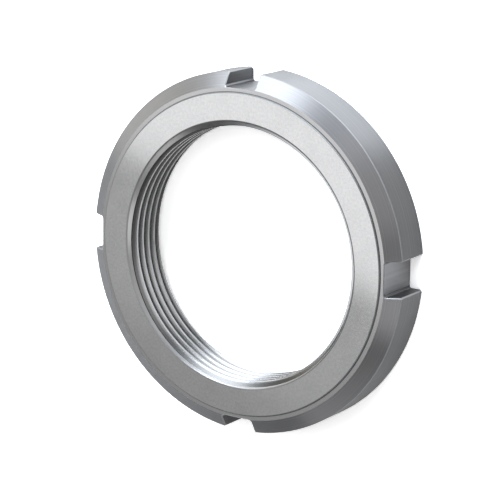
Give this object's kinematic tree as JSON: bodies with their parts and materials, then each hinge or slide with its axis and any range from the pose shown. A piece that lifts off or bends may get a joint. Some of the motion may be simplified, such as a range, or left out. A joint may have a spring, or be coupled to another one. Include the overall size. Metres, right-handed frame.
{
  "type": "ring nut",
  "caption": "Flat round lock nut with a fine internal thread, a chamfered bearing face and square spanner slots in its rim.",
  "frame": {"origin": "on the thread's axis, in the plane of the rear face, which the nut lies on", "axes": "+Z along the thread's axis from the rear face to the bearing face; +Y through the middle of one spanner slot"},
  "size_m": [0.0746, 0.0746, 0.011],
  "materials": {
    "steel": "bare steel, turned and fine-blasted, satin"
  },
  "bodies": {
    "root": {"ring_nut": "steel"}
  },
  "joints": []
}
